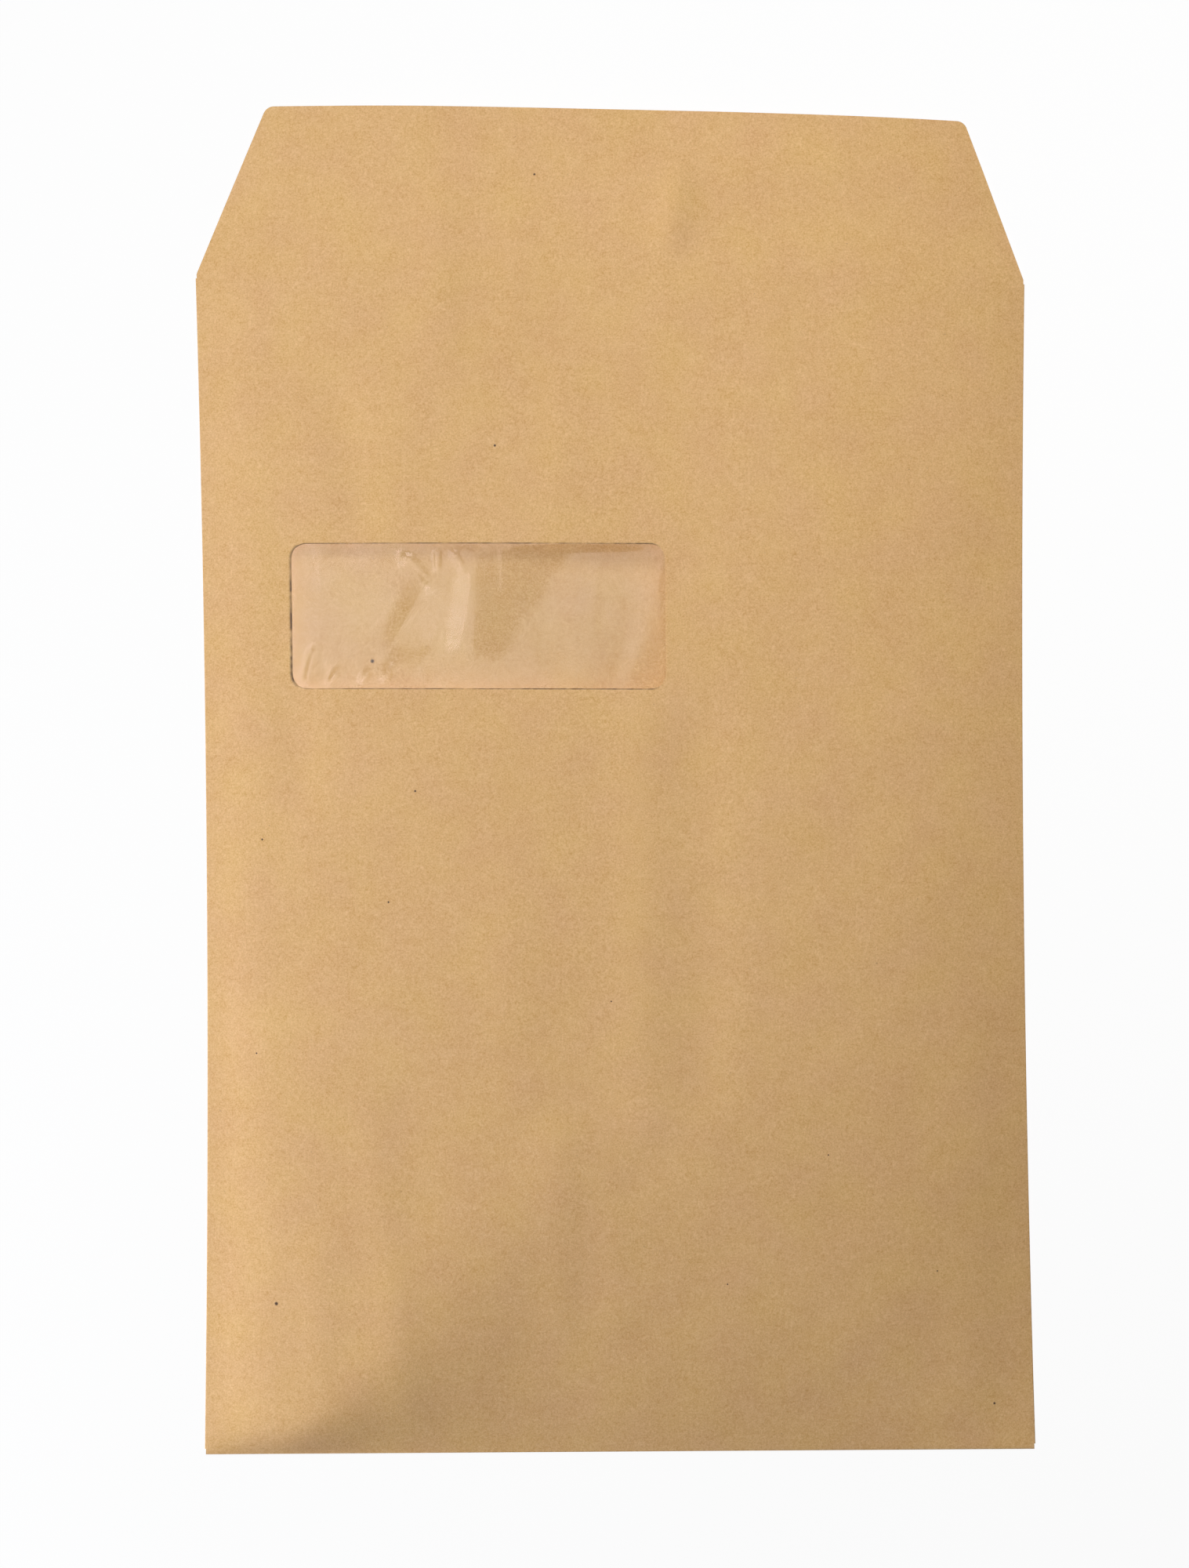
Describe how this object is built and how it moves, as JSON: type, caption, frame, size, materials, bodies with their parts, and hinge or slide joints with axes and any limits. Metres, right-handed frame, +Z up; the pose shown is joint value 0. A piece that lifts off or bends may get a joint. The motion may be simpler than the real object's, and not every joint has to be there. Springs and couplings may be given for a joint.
{
  "type": "paper envelope",
  "caption": "Buff paper pocket envelope with a film window, lying on its back with the seal flap opened out flat.",
  "frame": {"origin": "middle of the outline of the open envelope, on the surface that its back lies on", "axes": "+X across the pocket to the right as the window is read, +Y from the bottom crease towards the open flap, +Z up, away from the back"},
  "size_m": [0.229, 0.369, 0.0097],
  "materials": {
    "paper": "matte",
    "film": "gloss",
    "glue": "satin",
    "gum": "gloss"
  },
  "bodies": {
    "root": {"paper_blank": "paper", "window_film": "film", "window_glue": "glue", "seam_glue": "glue", "bottom_glue": "glue", "flap_gum": "gum"}
  },
  "joints": []
}
